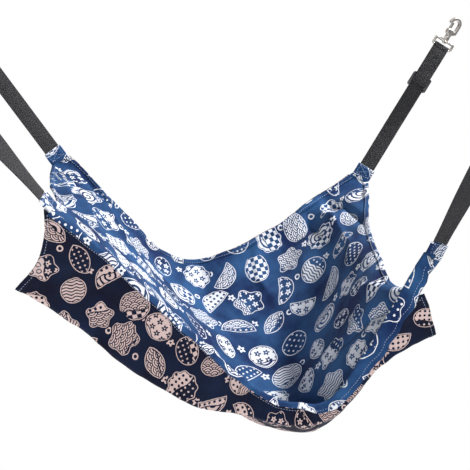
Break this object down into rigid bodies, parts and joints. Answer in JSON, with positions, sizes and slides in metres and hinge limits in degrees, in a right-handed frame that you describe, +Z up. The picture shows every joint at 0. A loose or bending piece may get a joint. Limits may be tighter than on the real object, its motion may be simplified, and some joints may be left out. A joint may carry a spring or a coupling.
{
  "type": "cat hammock",
  "caption": "Hanging fabric hammock for a small pet: sagging seat, sleeping pocket under it, corner straps with sliders, swivels and snap hooks.",
  "frame": {"origin": "centre of the points where the hooks take the weight, all at one height", "axes": "+X is the long way of the seat, -Y is the front with the lower rim, +Z is up"},
  "size_m": [0.8875, 0.4741, 0.5695],
  "materials": {
    "seat_cloth": "printed cotton canvas",
    "pocket_cloth": "printed cotton canvas",
    "webbing": "woven polypropylene webbing",
    "slider": "moulded, satin",
    "hook_metal": "nickel-plated zinc casting",
    "steel": "bright steel"
  },
  "bodies": {
    "cloth": {"seat_cloth": "seat_cloth", "pocket_cloth": "pocket_cloth", "corner_tab_front_left": "pocket_cloth", "corner_tab_front_right": "pocket_cloth", "corner_tab_back_left": "pocket_cloth", "corner_tab_back_right": "pocket_cloth"},
    "strap_front_left": {"strap_webbing_front_left": "webbing", "strap_return_front_left": "webbing"},
    "slider_front_left": {"strap_slider_front_left": "slider"},
    "eye_front_left": {"swivel_eye_front_left": "hook_metal"},
    "hook_front_left": {"hook_body_front_left": "hook_metal", "gate_rivet_front_left": "steel", "gate_spring_front_left": "steel"},
    "gate_front_left": {"hook_gate_front_left": "hook_metal"},
    "strap_front_right": {"strap_webbing_front_right": "webbing", "strap_return_front_right": "webbing"},
    "slider_front_right": {"strap_slider_front_right": "slider"},
    "eye_front_right": {"swivel_eye_front_right": "hook_metal"},
    "hook_front_right": {"hook_body_front_right": "hook_metal", "gate_rivet_front_right": "steel", "gate_spring_front_right": "steel"},
    "gate_front_right": {"hook_gate_front_right": "hook_metal"},
    "strap_back_left": {"strap_webbing_back_left": "webbing", "strap_return_back_left": "webbing"},
    "slider_back_left": {"strap_slider_back_left": "slider"},
    "eye_back_left": {"swivel_eye_back_left": "hook_metal"},
    "hook_back_left": {"hook_body_back_left": "hook_metal", "gate_rivet_back_left": "steel", "gate_spring_back_left": "steel"},
    "gate_back_left": {"hook_gate_back_left": "hook_metal"},
    "strap_back_right": {"strap_webbing_back_right": "webbing", "strap_return_back_right": "webbing"},
    "slider_back_right": {"strap_slider_back_right": "slider"},
    "eye_back_right": {"swivel_eye_back_right": "hook_metal"},
    "hook_back_right": {"hook_body_back_right": "hook_metal", "gate_rivet_back_right": "steel", "gate_spring_back_right": "steel"},
    "gate_back_right": {"hook_gate_back_right": "hook_metal"}
  },
  "joints": [
    {"name": "strap_fold_front_left", "type": "hinge", "parent": "cloth", "child": "strap_front_left", "pos_m": [-0.18017, -0.21023, -0.25197], "axis": [0.1594, 0.9574, 0.2406], "range_deg": [0, 40]},
    {"name": "slider_slide_front_left", "type": "slide", "parent": "strap_front_left", "child": "slider_front_left", "axis": [-0.7008, -0.0619, 0.7107], "range_m": [-0.04, 0.025], "deforming": ["strap_return_front_left"]},
    {"name": "eye_tilt_front_left", "type": "hinge", "parent": "strap_front_left", "child": "eye_front_left", "pos_m": [-0.39594, -0.22901, -0.03426], "axis": [0.7129, -0.0245, 0.7009], "range_deg": [0, 90]},
    {"name": "hook_swivel_front_left", "type": "hinge", "parent": "eye_front_left", "child": "hook_front_left", "pos_m": [-0.39594, -0.22901, -0.03426], "axis": [-0.7008, -0.0619, 0.7107], "continuous": true},
    {"name": "gate_swing_front_left", "type": "hinge", "parent": "hook_front_left", "child": "gate_front_left", "pos_m": [-0.41182, -0.23042, -0.01219], "axis": [0.088, -0.9961, 0], "range_deg": [0, 32], "stiffness_Nm_per_rad": 0.02, "springref_deg": -28.65},
    {"name": "strap_fold_front_right", "type": "hinge", "parent": "cloth", "child": "strap_front_right", "pos_m": [0.32496, -0.20928, -0.26632], "axis": [-0.8737, -0.4286, 0.23], "range_deg": [0, 40]},
    {"name": "slider_slide_front_right", "type": "slide", "parent": "strap_front_right", "child": "slider_front_right", "axis": [0.2897, -0.0788, 0.9539], "range_m": [-0.04, 0.025], "deforming": ["strap_return_front_right"]},
    {"name": "eye_tilt_front_right", "type": "hinge", "parent": "strap_front_right", "child": "eye_front_right", "pos_m": [0.39223, -0.2282, -0.04598], "axis": [-0.9398, 0.1652, 0.2991], "range_deg": [0, 90]},
    {"name": "hook_swivel_front_right", "type": "hinge", "parent": "eye_front_right", "child": "hook_front_right", "pos_m": [0.39223, -0.2282, -0.04598], "axis": [0.2897, -0.0788, 0.9539], "continuous": true},
    {"name": "gate_swing_front_right", "type": "hinge", "parent": "hook_front_right", "child": "gate_front_right", "pos_m": [0.39616, -0.22927, -0.01906], "axis": [0.2623, 0.965, 0], "range_deg": [0, 32], "stiffness_Nm_per_rad": 0.02, "springref_deg": -28.65},
    {"name": "strap_fold_back_left", "type": "hinge", "parent": "cloth", "child": "strap_back_left", "pos_m": [-0.18059, 0.20923, -0.26934], "axis": [0.7301, 0.2763, 0.625], "range_deg": [0, 40]},
    {"name": "slider_slide_back_left", "type": "slide", "parent": "strap_back_left", "child": "slider_back_left", "axis": [-0.6623, 0.061, 0.7468], "range_m": [-0.04, 0.025], "deforming": ["strap_return_back_left"]},
    {"name": "eye_tilt_back_left", "type": "hinge", "parent": "strap_back_left", "child": "eye_back_left", "pos_m": [-0.38784, 0.22906, -0.036], "axis": [0.742, 0.1916, 0.6424], "range_deg": [0, 90]},
    {"name": "hook_swivel_back_left", "type": "hinge", "parent": "eye_back_left", "child": "hook_back_left", "pos_m": [-0.38784, 0.22906, -0.036], "axis": [-0.6623, 0.061, 0.7468], "continuous": true},
    {"name": "gate_swing_back_left", "type": "hinge", "parent": "hook_back_left", "child": "gate_back_left", "pos_m": [-0.40253, 0.23041, -0.01312], "axis": [-0.0916, -0.9958, 0], "range_deg": [0, 32], "stiffness_Nm_per_rad": 0.02, "springref_deg": -28.65},
    {"name": "strap_fold_back_right", "type": "hinge", "parent": "cloth", "child": "strap_back_right", "pos_m": [0.32517, 0.20922, -0.24738], "axis": [0.8938, -0.1813, -0.4101], "range_deg": [0, 40]},
    {"name": "slider_slide_back_right", "type": "slide", "parent": "strap_back_right", "child": "slider_back_right", "axis": [0.4291, 0.08, 0.8997], "range_m": [-0.04, 0.025], "deforming": ["strap_return_back_right"]},
    {"name": "eye_tilt_back_right", "type": "hinge", "parent": "strap_back_right", "child": "eye_back_right", "pos_m": [0.42261, 0.22814, -0.04337], "axis": [0.8938, -0.1813, -0.4101], "range_deg": [0, 90]},
    {"name": "hook_swivel_back_right", "type": "hinge", "parent": "eye_back_right", "child": "hook_back_right", "pos_m": [0.42261, 0.22814, -0.04337], "axis": [0.4291, 0.08, 0.8997], "continuous": true},
    {"name": "gate_swing_back_right", "type": "hinge", "parent": "hook_back_right", "child": "gate_back_right", "pos_m": [0.43044, 0.2296, -0.01734], "axis": [-0.1832, 0.9831, 0], "range_deg": [0, 32], "stiffness_Nm_per_rad": 0.02, "springref_deg": -28.65}
  ]
}
